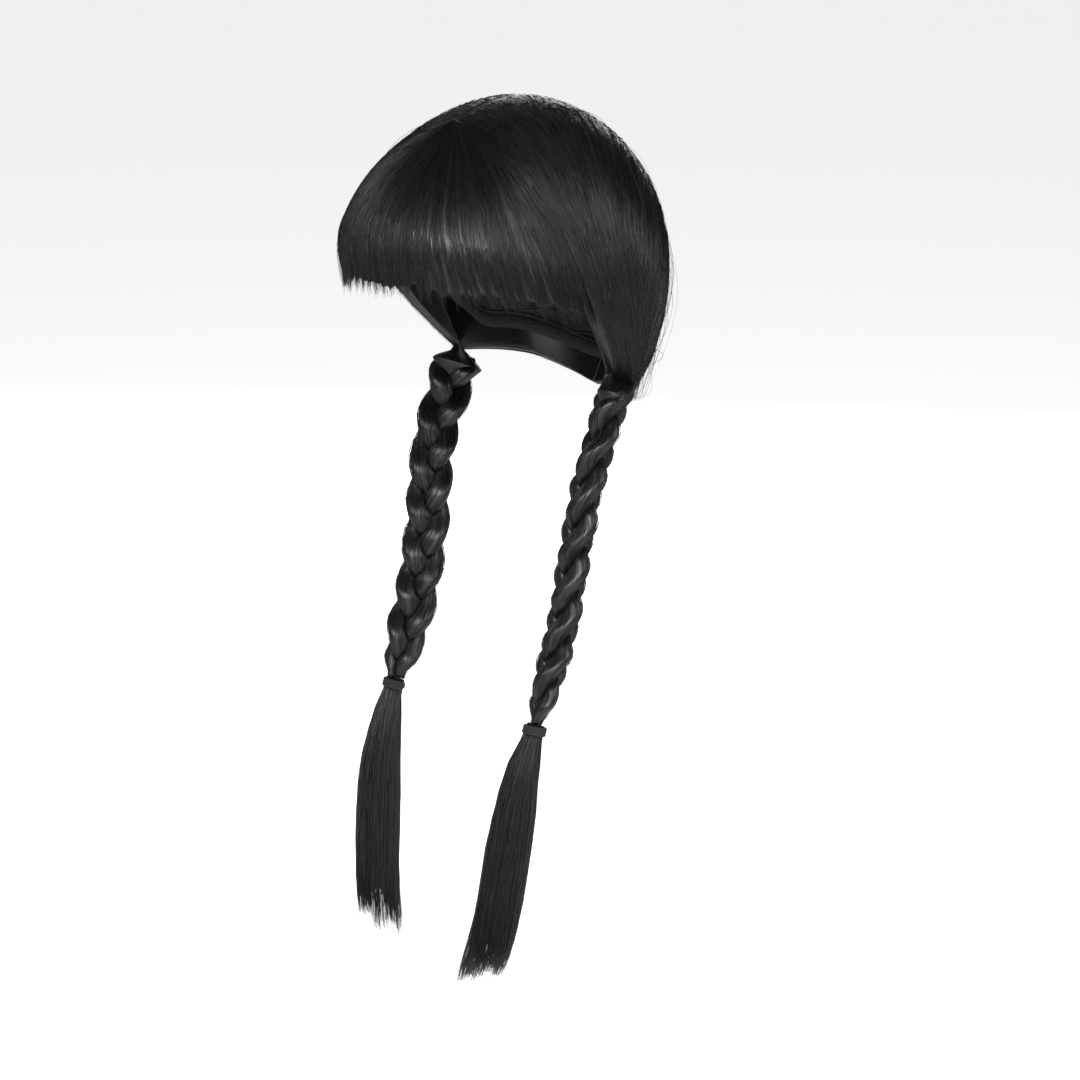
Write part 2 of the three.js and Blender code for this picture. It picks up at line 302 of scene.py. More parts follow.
def wall_piece(name: str, outer: Array, inner: Array, uvs: Array) -> bpy.types.Object:
    """Closed wall between two sheets with the same rows and columns.

    Args:
        name: Name of the piece.
        outer: Outside points; a column to the right and a row down turn inwards by the right hand.
        inner: Inside points.
        uvs: Flow map's places of either sheet.

    Returns:
        The object.
    """
    rows, columns = outer.shape[:2]
    row, column = np.mgrid[: rows - 1, : columns - 1]
    corner = row * columns + column
    front = np.stack([corner, corner + columns, corner + columns + 1, corner + 1], -1).reshape(-1, 4)
    size = rows * columns
    rim = np.concatenate([
        np.arange(columns - 1),
        np.arange(rows - 1) * columns + columns - 1,
        (rows - 1) * columns + np.arange(columns - 1, 0, -1),
        np.arange(rows - 1, 0, -1) * columns,
    ])
    after = np.roll(rim, -1)
    edge = np.stack([rim, after, after + size, rim + size], -1)
    points = np.concatenate([outer.reshape(-1, 3), inner.reshape(-1, 3)])
    flat = uvs.reshape(-1, 2)
    return new_piece(name, points, [front, front[:, ::-1] + size, edge], np.concatenate([flat, flat]))


def fibre_piece(name: str, paths: Array, radius: Array, shade: Array) -> bpy.types.Object:
    """Many thin closed three-sided fibres in one mesh.

    Args:
        name: Name of the piece.
        paths: Points by fibre and by step along it.
        radius: Radius at each point.
        shade: Random shade of each fibre, from 0 to 1.

    Returns:
        The object. Its flow map holds each fibre's shade across and its length along.
    """
    count, steps = paths.shape[:2]
    way = unit(np.gradient(paths, axis=1))
    guide = unit(np.cross(way, np.roll(way, 1, axis=0) + [0.31, 0.17, 0.11]))
    other = np.cross(way, guide)
    turn = np.arange(3) * (2 * np.pi / 3)
    ring = (guide[:, :, None] * np.cos(turn)[:, None] + other[:, :, None] * np.sin(turn)[:, None])
    points = paths[:, :, None] + ring * radius[:, :, None, None]
    base = (np.arange(count)[:, None, None] * steps + np.arange(steps - 1)[None, :, None]) * 3
    side = np.arange(3)
    after = (side + 1) % 3
    quads = np.stack([base + side, base + after, base + 3 + after, base + 3 + side], -1).reshape(-1, 4)
    start = np.arange(count)[:, None] * steps * 3
    close = np.concatenate([start + [2, 1, 0], start + (steps - 1) * 3 + [0, 1, 2]])
    along = np.broadcast_to(np.linspace(0, 1, steps)[None, :, None], (count, steps, 3))
    across = np.broadcast_to(shade[:, None, None], (count, steps, 3))
    return new_piece(name, points.reshape(-1, 3), [quads, close], np.stack([across, along], -1).reshape(-1, 2))


def tapered(rng: np.random.Generator, count: int, steps: int, radius: float, tip: float = 0.25) -> Array:
    """Radii of fibres that thin out over their last third.

    Args:
        rng: Source of each fibre's own thickness.
        count: How many fibres.
        steps: Points along each.
        radius: Usual radius in millimetres.
        tip: Share of it that is left at the end.

    Returns:
        Radii by fibre and step.
    """
    along = np.linspace(0, 1, steps)
    own = radius * rng.uniform(0.7, 1.25, (count, 1))
    return own * mix(1.0, tip, smoothstep(along, 0.66, 1.0))


def node(tree: bpy.types.NodeTree, kind: str, settings: dict[str, Any], links: dict[str, Any]) -> bpy.types.Node:
    """Adds one node to a tree.

    Args:
        tree: Tree that the node goes into.
        kind: The node's type.
        settings: Attributes, or values of sockets by name.
        links: Output sockets to join to inputs by name.

    Returns:
        The node.
    """
    made = tree.nodes.new(kind)
    for key, value in settings.items():
        if hasattr(made, key) and key not in made.inputs:
            setattr(made, key, value)
        else:
            made.inputs[key].default_value = value
    for key, socket in links.items():
        tree.links.new(socket, made.inputs[key])
    return made


def blank_material(name: str) -> tuple[bpy.types.Material, bpy.types.NodeTree]:
    """New material with an empty node tree."""
    material = bpy.data.materials.new(name)
    material.use_nodes = True
    material.node_tree.nodes.clear()
    return material, material.node_tree


def dress(piece: bpy.types.Object, material: bpy.types.Material, slot: str, *nodes: str) -> None:
    """Gives a piece its material and body, and hides the CAD nodes that it stands for.

    Args:
        piece: The piece.
        material: Its material.
        slot: Not used.
        *nodes: CAD nodes that the piece stands for.
    """
    piece.data.materials.append(material)
    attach(piece, "root")
    if nodes:
        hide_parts(*nodes)
    log.info("%s: %d faces", piece.name, len(piece.data.polygons))


@dataclass(frozen=True)
class BlackFibre:
    """Modacrylic wig fibre, drawn and heat-set: near black, glossy along its length, never quite even."""

    dark: str = "050505"
    light: str = "121110"
    ior: float = 1.5
    roughness: tuple[float, float] = (0.3, 0.46)
    anisotropy: float = 0.75
    streak_width: float = 0.7  # real fibres are 0.08 mm across: drawn in bundles, so that they show
    streak_length: float = 55.0
    relief: float = 0.22

    def material(self, coat: Coat) -> bpy.types.Material:
        """Builds the finish.

        Args:
            coat: MASS streaks a combed surface along its flow map; FIBRE gives each fibre its own shade.

        Returns:
            The material.
        """
        material, tree = blank_material("black_modacrylic_" + coat.name.lower())
        flow = node(tree, "ShaderNodeUVMap", {"uv_map": "flow"}, {})
        if coat is Coat.MASS:
            scale = (UV_UNIT / self.streak_width, UV_UNIT / self.streak_length, 1.0)
            detail = 3.0
        else:
            scale = (40.0, 1.2, 1.0)
            detail = 1.0
        placed = node(tree, "ShaderNodeMapping", {"Scale": scale}, {"Vector": flow.outputs["UV"]})
        streaks = node(tree, "ShaderNodeTexNoise", {"noise_dimensions": "2D", "Scale": 1.0, "Detail": detail,
                                                    "Roughness": 0.6}, {"Vector": placed.outputs["Vector"]})
        wide = node(tree, "ShaderNodeMapping", {"Scale": (scale[0] / 9, scale[1] / 2, 1.0)},
                    {"Vector": flow.outputs["UV"]})
        locks = node(tree, "ShaderNodeTexNoise", {"noise_dimensions": "2D", "Scale": 1.0, "Detail": 2.0},
                     {"Vector": wide.outputs["Vector"]})
        both = node(tree, "ShaderNodeMath", {"operation": "MULTIPLY"}, {})
        tree.links.new(streaks.outputs[0], both.inputs[0])
        tree.links.new(locks.outputs[0], both.inputs[1])
        shade = node(tree, "ShaderNodeMapRange", {"From Min": 0.12, "From Max": 0.42}, {"Value": both.outputs[0]})
        colour = node(tree, "ShaderNodeMix", {"data_type": "RGBA"}, {})
        colour.inputs[6].default_value = srgb(self.dark)
        colour.inputs[7].default_value = srgb(self.light)
        tree.links.new(shade.outputs[0], colour.inputs[0])
        rough = node(tree, "ShaderNodeMapRange", {"From Min": 0.3, "From Max": 0.7, "To Min": self.roughness[0],
                                                  "To Max": self.roughness[1]}, {"Value": streaks.outputs[0]})
        shader = node(tree, "ShaderNodeBsdfPrincipled", {"IOR": self.ior, "Metallic": 0.0},
                      {"Base Color": colour.outputs[2], "Roughness": rough.outputs[0]})
        if coat is Coat.MASS:
            bump = node(tree, "ShaderNodeBump", {"Strength": 0.7, "Distance": self.relief * MM},
                        {"Height": streaks.outputs[0]})
            tangent = node(tree, "ShaderNodeTangent", {"direction_type": "UV_MAP", "uv_map": "flow"}, {})
            shader.inputs["Anisotropic"].default_value = self.anisotropy
            tree.links.new(bump.outputs[0], shader.inputs["Normal"])
            tree.links.new(tangent.outputs[0], shader.inputs["Tangent"])
        node(tree, "ShaderNodeOutputMaterial", {}, {"Surface": shader.outputs[0]})
        return material


@dataclass(frozen=True)
class StretchNet:
    """Knitted polyester net of the cap: matt, with small holes that show only as a fine dark grain."""

    thread: str = "1b1b1d"
    hole: str = "050505"
    roughness: float = 0.85
    pitch: float = 1.6
    relief: float = 0.25

    def material(self) -> bpy.types.Material:
        """Builds the finish: cells of the knit, darker and lower inside each one."""
        material, tree = blank_material("knitted_polyester_net")
        place = node(tree, "ShaderNodeTexCoord", {}, {})
        cells = node(tree, "ShaderNodeTexVoronoi", {"feature": "DISTANCE_TO_EDGE", "Scale": 1 / (self.pitch * MM)},
                     {"Vector": place.outputs["Object"]})
        edge = node(tree, "ShaderNodeMapRange", {"From Min": 0.05, "From Max": 0.3}, {"Value": cells.outputs[0]})
        colour = node(tree, "ShaderNodeMix", {"data_type": "RGBA"}, {})
        colour.inputs[6].default_value = srgb(self.thread)
        colour.inputs[7].default_value = srgb(self.hole)
        tree.links.new(edge.outputs[0], colour.inputs[0])
        bump = node(tree, "ShaderNodeBump", {"Strength": 0.8, "Distance": self.relief * MM, "invert": True},
                    {"Height": edge.outputs[0]})
        shader = node(tree, "ShaderNodeBsdfPrincipled", {"Roughness": self.roughness, "IOR": 1.5},
                      {"Base Color": colour.outputs[2], "Normal": bump.outputs[0]})
        node(tree, "ShaderNodeOutputMaterial", {}, {"Surface": shader.outputs[0]})
        return material


@dataclass(frozen=True)
class CoveredElastic:
    """Rubber cord in a braided polyester cover: matt, a little greyer than the hair."""

    # low is the cover's grey yarn with painted shade for the grooves, high the same yarn with a painted highlight
    # for the crests
    low: str = "0b0c0c"
    high: str = "292b2c"
    roughness: float = 0.75
    yarns: float = 3.0

    def material(self) -> bpy.types.Material:
        """Builds the finish: slanting yarns of the cover, with painted shade in the grooves between them and a
        painted highlight on their crests.
        """
        material, tree = blank_material("braided_elastic_cord")
        flow = node(tree, "ShaderNodeUVMap", {"uv_map": "flow"}, {})
        placed = node(tree, "ShaderNodeMapping", {"Scale": (self.yarns * 2, self.yarns * 20, 1.0),
                                                  "Rotation": (0.0, 0.0, 0.5)}, {"Vector": flow.outputs["UV"]})
        yarn = node(tree, "ShaderNodeTexWave", {"Scale": 1.0, "Distortion": 1.2, "Detail": 2.0},
                    {"Vector": placed.outputs["Vector"]})
        # The yarns' height sets the colour as well as the bump: painted shade in the grooves, painted highlight on
        # the crests.
        colour = node(tree, "ShaderNodeMix", {"data_type": "RGBA"}, {})
        colour.inputs[6].default_value = srgb(self.low)
        colour.inputs[7].default_value = srgb(self.high)
        tree.links.new(yarn.outputs[1], colour.inputs[0])
        bump = node(tree, "ShaderNodeBump", {"Strength": 0.6, "Distance": 0.2 * MM}, {"Height": yarn.outputs[1]})
        shader = node(tree, "ShaderNodeBsdfPrincipled", {"Roughness": self.roughness, "IOR": 1.5},
                      {"Base Color": colour.outputs[2], "Normal": bump.outputs[0]})
        node(tree, "ShaderNodeOutputMaterial", {}, {"Surface": shader.outputs[0]})
        return material


@dataclass(frozen=True)
class Head:
    """Head that the cap fits: two half ellipsoids that meet at its widest level. Sizes in millimetres."""

    width: float = 150.0
    length: float = 192.0
    crown: float = 98.0
    nape: float = 116.0

    def over(self, direction: Array, lift: Array | float) -> Array:
        """Points over the head: the direction times the half axes, then out along the skin's normal.

        Args:
            direction: Unit directions from the head's centre.
            lift: Height over the skin.

        Returns:
            Points in the wig's frame.
        """
        height = np.where(direction[..., 2] < 0, self.nape, self.crown)
        axes = np.stack([np.full_like(height, self.width / 2), np.full_like(height, self.length / 2), height], -1)
        places = direction * axes + unit(direction / axes) * np.asarray(lift)[..., None]
        places[..., 2] -= self.crown
        return places


class Route:
    """Curve of a pigtail, read by the share of its length.

    The curve is sampled densely, and a share is turned to a place by its summed chord lengths.
    """

    def __init__(self, points: Array, flat_turn: float = 45.0, samples: int = 400) -> None:
        """Lays the curve through the points.

        Args:
            points: Control points in millimetres.
            flat_turn: Degrees that the pigtail's flat side looks back from straight out.
            samples: How many samples the curve holds.
        """
        self.samples = through(points, np.linspace(0, 1, samples))
        chords = np.linalg.norm(np.diff(self.samples, axis=0), axis=1)
        self.length = float(chords.sum())
        self.shares = np.r_[0, np.cumsum(chords)] / self.length
        self.ways = unit(np.gradient(self.samples, axis=0))
        turn = math.radians(flat_turn)
        self.out = np.array([math.cos(turn), math.sin(turn), 0.0])

    def frame(self, run: Array) -> tuple[Array, Array, Array]:
        """Middle, width direction and flat side's normal at shares of the length, straight on past the ends.

        Args:
            run: Shares of the length.

        Returns:
            The three sets of vectors.
        """
        inside = np.clip(run, 0, 1)
        middle = np.stack([np.interp(inside, self.shares, self.samples[:, k]) for k in range(3)], -1)
        way = unit(np.stack([np.interp(inside, self.shares, self.ways[:, k]) for k in range(3)], -1))
        middle = middle + way * ((run - inside) * self.length)[..., None]
        wide = unit(np.cross(np.broadcast_to(self.out, way.shape), way))
        return middle, wide, unit(np.cross(way, wide))

    def place(self, run: Array, across: Array, through_: Array) -> Array:
        """Points beside the curve.

        Args:
            run: Shares of the length.
            across: Distances along the width.
            through_: Distances along the flat side's normal.

        Returns:
            middle + across * width + through * normal.
        """
        middle, wide, flat = self.frame(run)
        return middle + wide * across[..., None] + flat * through_[..., None]


@dataclass(frozen=True)
class Pigtail:
    """Sizes of one braid, its tie and its tail, on the wearer's left, in millimetres."""

    root: tuple[float, float, float] = (67.0, 26.0, -158.0)
    braid_width: float = 27.0
    braid_thickness: float = 18.0
    braid_length: float = 192.0
    braid_forward: float = 61.0
    braid_inward: float = 5.0
    plait: float = 81.0
    tail_length: float = 150.0
    tail_forward: float = 30.0
    tail_inward: float = 15.0
    tail_radius: float = 14.0
    cord: float = 2.4
    wraps: int = 3
    neck: float = 4.9

    @staticmethod
    def _points(start: Array, route: Table, down: float, forward: float, inward: float) -> Array:
        """Points of a route: start - (inward, forward, down) times the table's shares."""
        shares = np.array([route["inward"], route["forward"], route["down"]]).T
        return start - shares * [inward, forward, down]

    def braid(self) -> Route:
        """Curve from the root to the tie."""
        start = np.array(self.root)
        return Route(self._points(start, BRAID_ROUTE, self.braid_length, self.braid_forward, self.braid_inward))

    def tail(self) -> Route:
        """Curve from the tie to the longest tip, led by the braid's own way."""
        braid = self.braid()
        start, way = braid.samples[-1], braid.ways[-1]
        lead = start + way * (1.5 * self.cord * self.wraps)
        rest = self._points(start, TAIL_ROUTE, self.tail_length, self.tail_forward, self.tail_inward)
        return Route(np.concatenate([[start, lead], rest]))


@dataclass(frozen=True)
class Combing:
    """How the hair lies on the head: where each line starts, which way it goes and how high it stands."""

    head: Head = field(default_factory=Head)
    pigtail: Pigtail = field(default_factory=Pigtail)
    height: float = 13.5
    brow_height: float = 17.5
    back_swell: float = 5.5  # higher behind the crown and lower before it
    hem_height: float = 7.0
    under: float = 3.1
    whorl_angle: float = 21.0
    nape_angle: float = 126.0
    root_azimuth: float = 111.0
    root_angle: float = 108.0
    hem_front: float = 83.0
    hem_seam: float = 0.68
    gather: float = 1.15  # size of the gathered root, as a share of the braid's
    line_length: float = 190.0

    def fullness(self, direction: Array) -> Array:
        """Height of the hair over the skin: even, fuller over the brow, and 2yz times the swell more behind."""
        brow = (1 - smoothstep(np.abs(azimuth_of(direction)), 35, 95)) * smoothstep(angle_of(direction), 20, 60)
        return mix(self.height, self.brow_height, brow) + 2 * self.back_swell * direction[..., 1] * direction[..., 2]

    def line(self, share: Array, run: Array) -> Array:
        """Directions of combed lines: a smooth curve through the parting, two passes of the table and the root.

        Args:
            share: Share of the parting where each line starts, 0 at the whorl and 1 at the nape.
            run: How far along the line, 1 at the pigtail's root.

        Returns:
            Unit directions.
        """
        share, run = np.broadcast_arrays(share, run)
        control = np.stack([
            heading(180.0, mix(-self.whorl_angle, self.nape_angle, share)),
            heading(*(table_at(COMBED_PASS, "share", share, "high_" + part) for part in ("azimuth", "angle"))),
            heading(*(table_at(COMBED_PASS, "share", share, "low_" + part) for part in ("azimuth", "angle"))),
            np.broadcast_to(heading(self.root_azimuth, self.root_angle), (*share.shape, 3)),
        ])
        return unit(through(control, run))

    def side(self, share: Array, run: Array, depth: Array, proud: Array) -> Array:
        """Points of the combed side on the wearer's left, gathered into the root of the braid.

        Args:
            share: Share of the parting.
            run: How far along the line.
            depth: 0 next to the cap and 1 at the outside.
            proud: Millimetres further out.

        Returns:
            Points over the head, eased to an oval bundle over the last part of the line.
        """
        share, run, depth, proud = np.broadcast_arrays(share, run, depth, proud)
        direction = self.line(share, run)
        shell = self.head.over(direction, mix(self.under, self.fullness(direction), depth) + proud)
        spread = 2 * share - 1
        size = self.pigtail
        past = np.maximum(run - 1, 0) * self.line_length / size.braid_length
        middle, wide, flat = size.braid().frame(past)
        swell = self.gather * (1 - 9 * past)
        oval = np.sqrt(np.clip(1 - 0.985 * spread**2, 0, 1))
        across = -spread * swell * size.braid_width / 2
        out = (depth - 0.5) * swell * size.braid_thickness * oval + proud
        bundle = middle + wide * across[..., None] + flat * out[..., None]
        return mix(shell, bundle, smoothstep(run, 0.56, 1.0)[..., None])

    def fringe(self, spread: Array, along: Array, longer: Array, proud: Array) -> Array:
        """Points of the fringe's outside.

        Args:
            spread: -1 at the wearer's right seam and 1 at the left one.
            along: 0 at the whorl and 1 at the hem.
            longer: Degrees that the hem hangs lower.
            proud: Millimetres further out.

        Returns:
            Points over the brow: azimuth is the spread times the seam's, and the angle runs from the front's to
            the seam's with the square of the spread.
        """
        spread, along, longer, proud = np.broadcast_arrays(spread, along, longer, proud)
        seam = self.line(np.zeros_like(along), along * self.hem_seam)
        front = mix(self.whorl_angle, self.hem_front, along)
        angle = mix(front, angle_of(seam), spread**2) + longer * smoothstep(along, 0.6, 1.0)
        direction = heading(spread * azimuth_of(seam), angle)
        curled = mix(self.fullness(direction), self.hem_height, smoothstep(along, 0.7, 1.0))
        return self.head.over(direction, np.maximum(curled + proud, self.under))


def nearness(rng: np.random.Generator, spread: Array, count: int) -> tuple[Array, Array]:
    """Groups hairs that lie side by side into uneven locks.

    Args:
        rng: Source of the locks' places.
        spread: Places from -1 to 1.
        count: How many locks there are.

    Returns:
        Distance to the middle of the nearest lock, and nearness to it from 0 to 1.
    """
    middles = (np.arange(count) + 0.5 + rng.uniform(-0.46, 0.46, count)) / count * 2 - 1
    nearest = np.searchsorted((middles[1:] + middles[:-1]) / 2, spread)
    offset = spread - middles[nearest]
    return offset, 1 - np.clip(np.abs(offset) * count, 0, 1)


def mirrored(points: Array, side: Side) -> Array:
    """Points with X turned over for the wearer's right."""
    return points * np.array([side.value, 1.0, 1.0])


def facing(piece_points: Array, side: Side) -> Array:
    """Grid with its columns turned over where the mirror would turn its faces inwards."""
    return piece_points if side is Side.LEFT else piece_points[:, ::-1]


@dataclass
class Fringe:
    """Full straight fringe: one combed mass with a ragged hem, and loose fibres over it."""

    combing: Combing
    half_arc: float = 150.0  # from the middle of the hem to a seam
    drop: float = 110.0
    thickness: float = 8.0
    hem_thickness: float = 0.9
    locks: int = 40
    point: float = 2.4  # how far a lock's point hangs below the notch beside it, in degrees
    lean: float = 0.016  # how far the points drift towards the wearer's left
    columns: int = 400
    rows: int = 52
    fibres: int = 2600
    fibre_radius: float = 0.15

    def build(self, finish: dict[Coat, bpy.types.Material], rng: np.random.Generator) -> None:
        """Builds and dresses both pieces.

        Args:
            finish: Hair finishes by coat.
            rng: Source of the fringe's unevenness.
        """
        seed = int(rng.integers(1 << 30))
        dress(self._mass(rng, seed), finish[Coat.MASS], "black_hair", "fringe")
        dress(self._fibres(rng, seed), finish[Coat.FIBRE], "black_hair")

    def _mass(self, rng: np.random.Generator, seed: int) -> bpy.types.Object:
        """Wall of combed hair whose hem is cut by its locks.

        Args:
            rng: Source of the relief.
            seed: Seed of the locks' places.

        Returns:
            The piece.
        """
        spread = np.linspace(-1.02, 1.02, self.columns)[None, :]
        place = (spread + 1.05) / 2.1
        along = np.linspace(0.0, 1.0, self.rows)[:, None]
        _, near = nearness(np.random.default_rng(seed), spread, self.locks)
        hem = self.point * (near * (0.5 + 0.5 * waves(rng, place, 37)) - 0.7) + 0.9 * waves(rng, place, 15)
        drift = place + 0.006 * waves(rng, along * 0.9, 4)
        relief = 0.5 * waves(rng, drift, 24) + 0.36 * waves(rng, drift, 70) + 0.16 * waves(rng, drift, 180)
        relief = relief * smoothstep(along, 0.03, 0.35)
        leaned = spread + self.lean * smoothstep(along, 0.75, 1.0)
        outer = self.combing.fringe(leaned, along, hem, relief)
        thick = mix(self.thickness, self.hem_thickness, smoothstep(along, 0.7, 1.0))
        inner = self.combing.fringe(leaned, along, hem, relief * 0.5 - thick)
        flow = np.broadcast_arrays(spread * self.half_arc / UV_UNIT * np.maximum(along, 0.1),
                                   along * self.drop / UV_UNIT)
        return wall_piece("fringe_mass", outer, inner, np.stack(flow, -1))

    def _fibres(self, rng: np.random.Generator, seed: int) -> bpy.types.Object:
        """Loose fibres that close up to a lock's point and end raggedly past it.

        Args:
            rng: Source of the fibres' places.
            seed: Seed of the locks' places.

        Returns:
            The piece.
        """
        steps, count = 10, self.fibres
        spread = rng.uniform(-1.01, 1.01, (count, 1))
        offset, near = nearness(np.random.default_rng(seed), spread, self.locks)
        start = np.where(rng.random((count, 1)) < 0.35, rng.uniform(0.0, 0.15, (count, 1)),
                         rng.uniform(0.15, 0.85, (count, 1)))
        t = np.linspace(0, 1, steps)[None, :]
        along = mix(start, 1.0, t)
        closing = smoothstep(along, 0.72, 1.0)
        sway = 0.01 * rng.standard_normal((count, 1)) * np.sin(np.pi * t * rng.uniform(0.6, 1.6, (count, 1)))
        place = spread + sway + (self.lean * 1.6 - offset * rng.uniform(0.2, 0.8, (count, 1))) * closing
        longer = self.point * near - 0.9 + 1.5 * rng.standard_normal((count, 1))
        proud = rng.uniform(-0.3, 0.7, (count, 1)) - 0.9 * rng.random((count, 1)) * closing
        return fibre_piece("fringe_fibres", self.combing.fringe(place, along, longer, proud),
                           tapered(rng, count, steps, self.fibre_radius), rng.random(count))


@dataclass
class CombedSide:
    """One side of the hair, combed from the parting to the root of its braid."""

    combing: Combing
    side: Side
    arc: float = 230.0
    reach: float = 190.0
    end: float = 1.06  # the gathered hair closes over the tops of the braid's strands
    tuck: float = 2.5  # how deep the front edge goes under the fringe
    columns: int = 220
    rows: int = 70
    fibres: int = 1700
    fibre_radius: float = 0.16

    def build(self, finish: dict[Coat, bpy.types.Material], rng: np.random.Generator) -> None:
        """Builds and dresses the mass and its fibres.

        Args:
            finish: Hair finishes by coat.
            rng: Source of the unevenness.
        """
        label = self.side.label
        dress(self._mass(rng), finish[Coat.MASS], "black_hair", "combed_side_" + label)
        dress(self._fibres(rng), finish[Coat.FIBRE], "black_hair")

    def _mass(self, rng: np.random.Generator) -> bpy.types.Object:
        """Wall of combed hair with locks that narrow towards the root."""
        share = np.linspace(-0.03, 1.0, self.columns)[None, :]
        run = np.linspace(0.0, self.end, self.rows)[:, None]
        drift = share * 0.96 + 0.02 + 0.01 * waves(rng, run * 0.9, 4)
        relief = 0.6 * waves(rng, drift, 20) + 0.4 * waves(rng, drift, 55) + 0.16 * waves(rng, drift, 120)
        tuck = self.tuck * (1 - smoothstep(share, -0.03, 0.03)) * (1 - smoothstep(run, 0.5, 0.8))
        relief = relief * smoothstep(run, 0.03, 0.35) - tuck
        outer = self.combing.side(share, run, np.array(1.0), relief)
        inner = self.combing.side(share, run, np.array(0.0), np.array(0.0))
        uvs = np.stack(np.broadcast_arrays(share * self.arc / UV_UNIT, run * self.reach / UV_UNIT), -1)
        outer, inner = (facing(mirrored(part, self.side), self.side) for part in (outer, inner))
        return wall_piece("combed_mass_" + self.side.label, outer, inner, facing(uvs, self.side))

    def _fibres(self, rng: np.random.Generator) -> bpy.types.Object:
        """Loose fibres along the combed lines."""
        steps = 12
        count = self.fibres
        share = rng.uniform(0.0, 1.0, (count, 1))
        start = np.where(rng.random((count, 1)) < 0.6, rng.uniform(0.0, 0.1, (count, 1)),
                         rng.uniform(0.1, 0.6, (count, 1)))
        t = np.linspace(0, 1, steps)[None, :]
        run = mix(start, rng.uniform(0.95, 1.09, (count, 1)), t)
        sway = 0.014 * rng.standard_normal((count, 1)) * np.sin(np.pi * t * rng.uniform(0.6, 1.6, (count, 1)))
        proud = rng.uniform(-0.2, 0.9, (count, 1)) * np.ones_like(t)
        paths = self.combing.side(np.clip(share + sway, 0, 1), run, np.array(1.0), proud)
        return fibre_piece("combed_fibres_" + self.side.label, mirrored(paths, self.side),
                           tapered(rng, count, steps, self.fibre_radius, 0.5), rng.random(count))


@dataclass
class Braid:
    """Three-strand braid from the root to the tie."""

    pigtail: Pigtail
    side: Side
    strand_width: float = 17.0
    strand_thickness: float = 11.6
    gap: float = 0.15
    lean: float = 34.0
    around: int = 40
    rows: int = 130
    fibres: int = 62
    fibre_radius: float = 0.15
    start: float = -0.03

    def build(self, finish: dict[Coat, bpy.types.Material], rng: np.random.Generator) -> None:
        """Builds and dresses each strand and its fibres.

        Args:
            finish: Hair finishes by coat.
            rng: Source of the unevenness.
        """
        route = self.pigtail.braid()
        for index in range(3):
            name = f"{self.side.label}_{index + 1}"
            dress(self._strand(route, index, name, rng), finish[Coat.MASS], "black_hair", "braid_strand_" + name)
            dress(self._fibres(route, index, name, rng), finish[Coat.FIBRE], "black_hair")

    def _centre(self, route: Route, run: Array, index: int) -> Array:
        """Strand's centre: swing * sin t across and weave * sin 2t through, a third of a turn apart."""
        turn = 2 * np.pi * (run * route.length / self.pigtail.plait + index / 3)
        size = table_at(BRAID_SWELL, "run", run, "size")
        swing = (self.pigtail.braid_width - self.strand_width) / 2 + 1.0
        weave = (self.pigtail.braid_thickness - self.strand_thickness) / 2 + 0.4
        return np.stack([swing * np.sin(turn), weave * np.sin(2 * turn)], -1) * size[..., None]

    def _reach(self, route: Route, run: Array, index: int, bearing: Array) -> Array:
        """Distance from the centre to the skin: an oval cut off half way to each of the other strands."""
        turn = 2 * np.pi * (run * route.length / self.pigtail.plait + index / 3)
        leaned = bearing - math.radians(self.lean) * np.cos(turn)
        size = table_at(BRAID_SWELL, "run", run, "size")
        oval = size / np.hypot(2 * np.cos(leaned) / self.strand_width, 2 * np.sin(leaned) / self.strand_thickness)
        centre = self._centre(route, run, index)
        for step in (1, 2):
            apart = self._centre(route, run, index + step) - centre
            towards = apart[..., 0] * np.cos(bearing) + apart[..., 1] * np.sin(bearing)
            far = np.linalg.norm(apart, axis=-1)
            half = (far - self.gap) / 2 * far / np.maximum(towards, 1e-3)
            blend = 1.2  # rounds the edge between the oval and the flat
            low = np.minimum(oval, half)
            oval = low - blend * np.exp(-np.abs(oval - half) / blend) * 0.25
        return oval

    def _skin(self, route: Route, run: Array, index: int, bearing: Array, proud: Array) -> Array:
        """Points of a strand's skin, a little proud of it."""
        centre = self._centre(route, run, index)
        reach = self._reach(route, run, index, bearing) + proud
        return route.place(run, centre[..., 0] + reach * np.cos(bearing), centre[..., 1] + reach * np.sin(bearing))

    def _strand(self, route: Route, index: int, name: str, rng: np.random.Generator) -> bpy.types.Object:
        """One strand, with shallow furrows that wind slowly round it."""
        run = np.linspace(self.start, 1.0, self.rows)[:, None]
        round_ = np.linspace(0, 1, self.around, endpoint=False)[None, :]
        run, round_ = np.broadcast_arrays(run, round_)
        wound = round_ + 0.5 * run
        relief = 0.34 * waves(rng, wound, 8) + 0.26 * waves(rng, wound, 19)
        rings = self._skin(route, run, index, 2 * np.pi * round_, relief - 0.2)
        uvs = np.stack([wound * 36.0 / UV_UNIT, run * route.length / UV_UNIT], -1)
        ends = np.stack([rings[0].mean(0), rings[-1].mean(0)])
        rings, uvs = facing(mirrored(rings, self.side), self.side), facing(uvs, self.side)
        return ring_piece("braid_mass_" + name, rings, uvs, mirrored(ends, self.side))

    def _fibres(self, route: Route, index: int, name: str, rng: np.random.Generator) -> bpy.types.Object:
        """Fibres that lie along one strand."""
        steps, count = 48, self.fibres
        start = rng.uniform(self.start, 0.1, (count, 1))
        run = mix(start, rng.uniform(0.9, 1.0, (count, 1)), np.linspace(0, 1, steps)[None, :])
        bearing = 2 * np.pi * (rng.random((count, 1)) - 0.5 * run + 0.02 * waves(rng, run * 3, 12))
        proud = rng.uniform(-0.1, 0.5, (count, 1)) + 0.35 * waves(rng, run * 2 + rng.random((count, 1)), 17)
        paths = self._skin(route, run, index, bearing, proud)
        return fibre_piece("braid_fibres_" + name, mirrored(paths, self.side),
                           tapered(rng, count, steps, self.fibre_radius, 0.5), rng.random(count))


